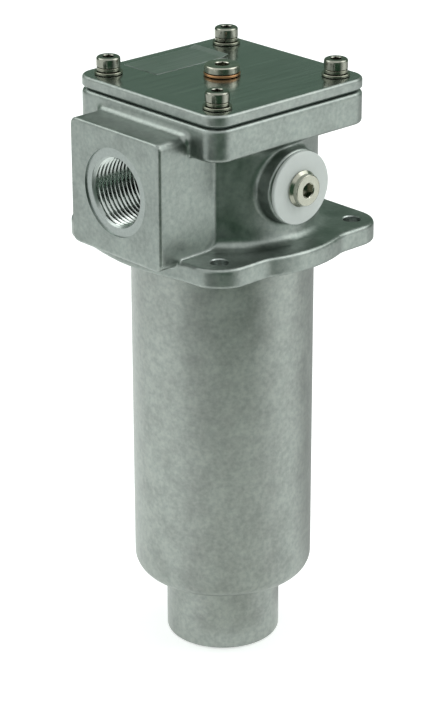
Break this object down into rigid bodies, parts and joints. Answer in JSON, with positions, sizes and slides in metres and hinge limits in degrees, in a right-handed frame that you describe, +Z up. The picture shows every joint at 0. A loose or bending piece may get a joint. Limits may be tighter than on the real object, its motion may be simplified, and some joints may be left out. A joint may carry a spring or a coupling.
{
  "type": "hydraulic return filter",
  "caption": "Tank-top hydraulic return filter: cast head with side inlet and lobed mounting flange, screwed square cover, tube bowl with outlet spigot and pleated element with bypass valve.",
  "frame": {"origin": "under the middle of the bounding box, on the plane of the outlet spigot's end; the filter's axis is 4.6 mm behind it, at x = 0, y = 0.0046", "axes": "+Z up along the filter's axis from outlet to cover, -Y out of the inlet port, +X out of the gauge port"},
  "size_m": [0.0952, 0.0942, 0.2306],
  "materials": {
    "cast_aluminium": "satin as cast, slightly green grey",
    "bowl_aluminium": "satin, mottled",
    "cover_aluminium": "ground, fine straight marks",
    "foil": "satin foil, blank",
    "screw_steel": "bright zinc",
    "washer_steel": "zinc",
    "nickel": "nickel plated",
    "copper": "bare copper",
    "white_nylon": "smooth, slightly translucent",
    "gasket": "fibre gasket, matte",
    "rubber": "nitrile rubber",
    "cap_steel": "tinned sheet",
    "spring_steel": "drawn wire",
    "filter_paper": "resin treated, pleated",
    "black_plastic": "glass filled nylon"
  },
  "bodies": {
    "housing": {"filter_head": "cast_aluminium", "bowl": "bowl_aluminium", "bowl_o_ring": "rubber", "cover_plate": "cover_aluminium", "cover_gasket": "gasket", "rating_plate": "foil", "cover_screw_1": "screw_steel", "cover_screw_2": "screw_steel", "cover_screw_3": "screw_steel", "cover_screw_4": "screw_steel", "spring_washer_1": "washer_steel", "spring_washer_2": "washer_steel", "spring_washer_3": "washer_steel", "spring_washer_4": "washer_steel", "flat_washer_1": "washer_steel", "flat_washer_2": "washer_steel", "flat_washer_3": "washer_steel", "flat_washer_4": "washer_steel", "filler_plug": "nickel", "copper_washer": "copper", "gauge_washer": "white_nylon", "gauge_plug": "nickel", "element_lower_cap": "cap_steel", "element_upper_cap": "cap_steel", "element_medium": "filter_paper", "element_core": "black_plastic", "element_o_ring": "rubber", "bypass_cage": "black_plastic", "bypass_spring": "spring_steel", "hold_down_spring": "spring_steel"},
    "poppet": {"bypass_poppet": "cap_steel"}
  },
  "joints": [
    {"name": "bypass_lift", "type": "slide", "parent": "housing", "child": "poppet", "axis": [0, 0, -1], "range_m": [0, 0.004], "stiffness_N_per_m": 2500, "springref_m": -0.012, "deforming": ["bypass_spring"]}
  ]
}
